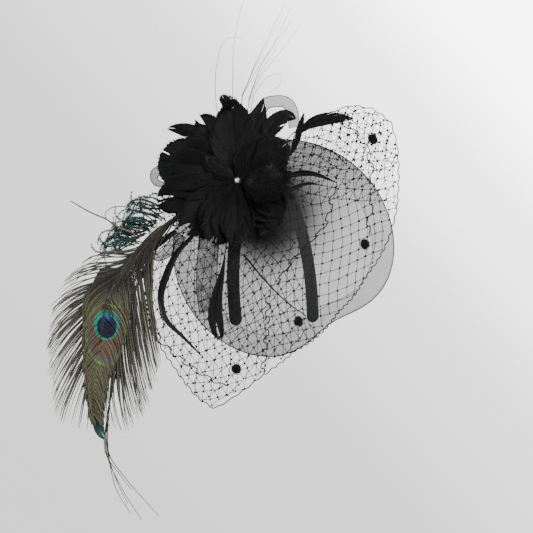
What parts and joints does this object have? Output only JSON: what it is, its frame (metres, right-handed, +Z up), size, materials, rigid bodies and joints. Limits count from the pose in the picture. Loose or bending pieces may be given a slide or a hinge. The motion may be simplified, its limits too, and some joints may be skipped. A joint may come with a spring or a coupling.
{
  "type": "fascinator headpiece",
  "caption": "Black fascinator on a sprung headband: see-through crin saucer, spotted net veil, feather flower with a gem and a trailing peacock spray.",
  "frame": {"origin": "centre of the wearer's head, at the mount head_seat", "axes": "+Z up towards the crown; the wearer faces -Y and the wearer's right is -X, where the trimming sits"},
  "size_m": [0.2505, 0.3072, 0.4948],
  "materials": {
    "black_feather": "dyed black feather, satin",
    "black_quill": "stripped quill, dyed black",
    "chenille": "flocked, dense and matt",
    "crin": "see-through woven crin, slight gloss",
    "crystal": "foil-backed faceted stone",
    "down": "marabou down, very soft",
    "felt": "pressed wool felt",
    "hair": "stripped ostrich herl, hair thin",
    "herl": "curled peacock herl, iridescent teal",
    "net": "knotted French net, open mesh",
    "peacock": "natural peacock barbs, iridescent bronze, green and blue",
    "petal_feather": "goose feather, dyed black, soft streaks",
    "plastic": "moulded, semi-matt",
    "rim_wire": "thread-wrapped wire",
    "satin": "black satin ribbon, fine weave",
    "silver": "bright plated cup",
    "steel": "nickel-plated spring steel, satin",
    "tan_quill": "natural quill, tan"
  },
  "bodies": {
    "headpiece": {"crin_dish": "crin", "crin_rim_hem": "crin", "rim_wire": "rim_wire", "veil_net": "net", "veil_dot_1": "chenille", "veil_dot_2": "chenille", "veil_dot_3": "chenille", "veil_dot_4": "chenille", "flower_backing_disc": "felt", "petal_01": "petal_feather", "petal_02": "petal_feather", "petal_03": "petal_feather", "petal_04": "petal_feather", "petal_05": "petal_feather", "petal_06": "petal_feather", "petal_07": "petal_feather", "petal_08": "petal_feather", "petal_09": "petal_feather", "petal_10": "petal_feather", "petal_11": "petal_feather", "petal_12": "petal_feather", "petal_13": "petal_feather", "petal_14": "petal_feather", "petal_15": "petal_feather", "gem_setting": "silver", "gem": "crystal", "down_puff": "down", "leaf_feather": "black_feather", "narrow_feather": "black_feather", "pointed_feather": "black_feather", "curved_feather": "black_feather", "left_feather": "black_feather", "long_biot": "black_feather", "short_biot": "black_feather", "hanging_feather": "black_feather", "bare_quill": "black_quill", "crin_loop_top": "crin", "crin_loop_left": "crin", "crin_loop_low": "crin", "crin_loop_bottom": "crin", "hair_whisp_1": "hair", "hair_whisp_2": "hair", "hair_whisp_3": "hair", "hair_whisp_4": "hair", "hair_whisp_5": "hair", "eye_feather_vane": "peacock", "eye_feather_quill": "tan_quill", "sword_feather": "peacock", "herl_tuft": "herl", "quill_stub": "tan_quill", "clip_upper_jaw": "steel", "clip_pin": "steel", "clip_spring": "steel", "headband_core": "plastic", "headband_cover": "satin", "headband_lining": "satin", "headband_end_right": "satin", "headband_end_left": "satin", "felt_pad": "felt"},
    "clip_jaw": {"clip_lower_jaw": "steel"}
  },
  "joints": [
    {"name": "clip_jaw_hinge", "type": "hinge", "parent": "headpiece", "child": "clip_jaw", "pos_m": [-0.06198, 0.02457, 0.07089], "axis": [-0.4326, -0.0648, -0.8992], "range_deg": [0, 25], "stiffness_Nm_per_rad": 0.35, "springref_deg": -14.32}
  ]
}
